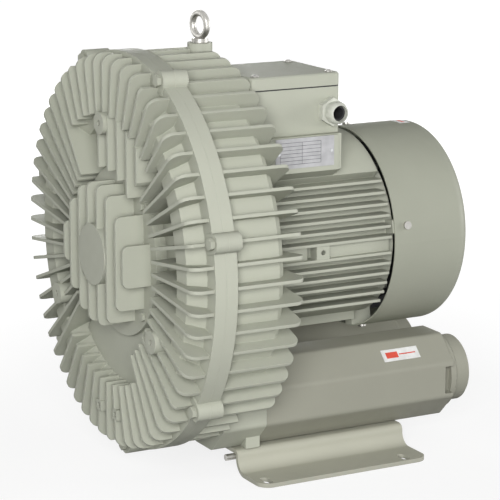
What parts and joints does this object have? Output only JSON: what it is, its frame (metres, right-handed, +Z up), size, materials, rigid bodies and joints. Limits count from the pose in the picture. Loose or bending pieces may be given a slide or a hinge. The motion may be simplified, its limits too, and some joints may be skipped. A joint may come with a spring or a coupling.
{
  "type": "side channel blower",
  "caption": "Side channel blower: radially finned impeller casing on a finned fan-cooled motor, with two silencers and two foot plates.",
  "frame": {"origin": "on the floor, in the middle of the four foot slots", "axes": "+Z up; +Y along the shaft from the impeller cover to the fan cowl, the way the ports point; +X the terminal box side"},
  "size_m": [0.4948, 0.4735, 0.551],
  "materials": {
    "casting_paint": "satin pebble grey enamel on cast aluminium",
    "cowl_paint": "satin pebble grey enamel on sheet steel",
    "collar_paint": "satin pebble grey enamel",
    "zinc_steel": "zinc plated",
    "machined_steel": "ground",
    "rubber": "matt",
    "bare_aluminium": "as cast or bare sheet",
    "core_steel": "laminated",
    "copper": "varnished copper wire",
    "fan_plastic": "moulded",
    "black_plastic": "moulded",
    "brass": "turned",
    "foam": "open-cell sound absorber"
  },
  "bodies": {
    "casing": {"bearing_cap": "casting_paint", "cable_gland_body": "black_plastic", "cable_gland_nut": "black_plastic", "cable_gland_seal": "rubber", "cap_screws": "zinc_steel", "cover_bolts": "zinc_steel", "cowl_screws": "zinc_steel", "end_shield_screws": "zinc_steel", "eye_bolt": "zinc_steel", "fan_cowl": "cowl_paint", "far_foot": "collar_paint", "far_port_flange": "collar_paint", "far_silencer_casing": "casting_paint", "far_silencer_liner": "foam", "foot_bolts": "zinc_steel", "foot_rods": "zinc_steel", "front_bearing_outer": "machined_steel", "impeller_cover": "casting_paint", "motor_flange_bolts": "zinc_steel", "motor_frame": "casting_paint", "nameplate": "bare_aluminium", "nameplate_rivets": "bare_aluminium", "near_foot": "collar_paint", "near_port_flange": "collar_paint", "near_silencer_casing": "casting_paint", "near_silencer_liner": "foam", "pump_housing": "casting_paint", "rear_bearing_outer": "machined_steel", "rear_end_shield": "casting_paint", "shaft_seal": "rubber", "stator_core": "core_steel", "stator_windings": "copper", "terminal_board": "black_plastic", "terminal_box_base": "casting_paint", "terminal_box_gasket": "rubber", "terminal_box_lid": "casting_paint", "terminal_lid_screws": "zinc_steel", "terminal_nuts": "brass"},
    "rotor": {"cooling_fan": "fan_plastic", "fan_circlip": "zinc_steel", "front_bearing_inner": "machined_steel", "impeller": "bare_aluminium", "impeller_key": "machined_steel", "rear_bearing_inner": "machined_steel", "rotor_cage": "bare_aluminium", "shaft": "machined_steel", "shaft_end_bolt": "zinc_steel", "shaft_end_washer": "zinc_steel", "spacer_sleeve": "machined_steel"}
  },
  "joints": [
    {"name": "rotor_spin", "type": "hinge", "parent": "casing", "child": "rotor", "pos_m": [0, -0.196, 0.268], "axis": [0, 1, 0], "continuous": true}
  ]
}
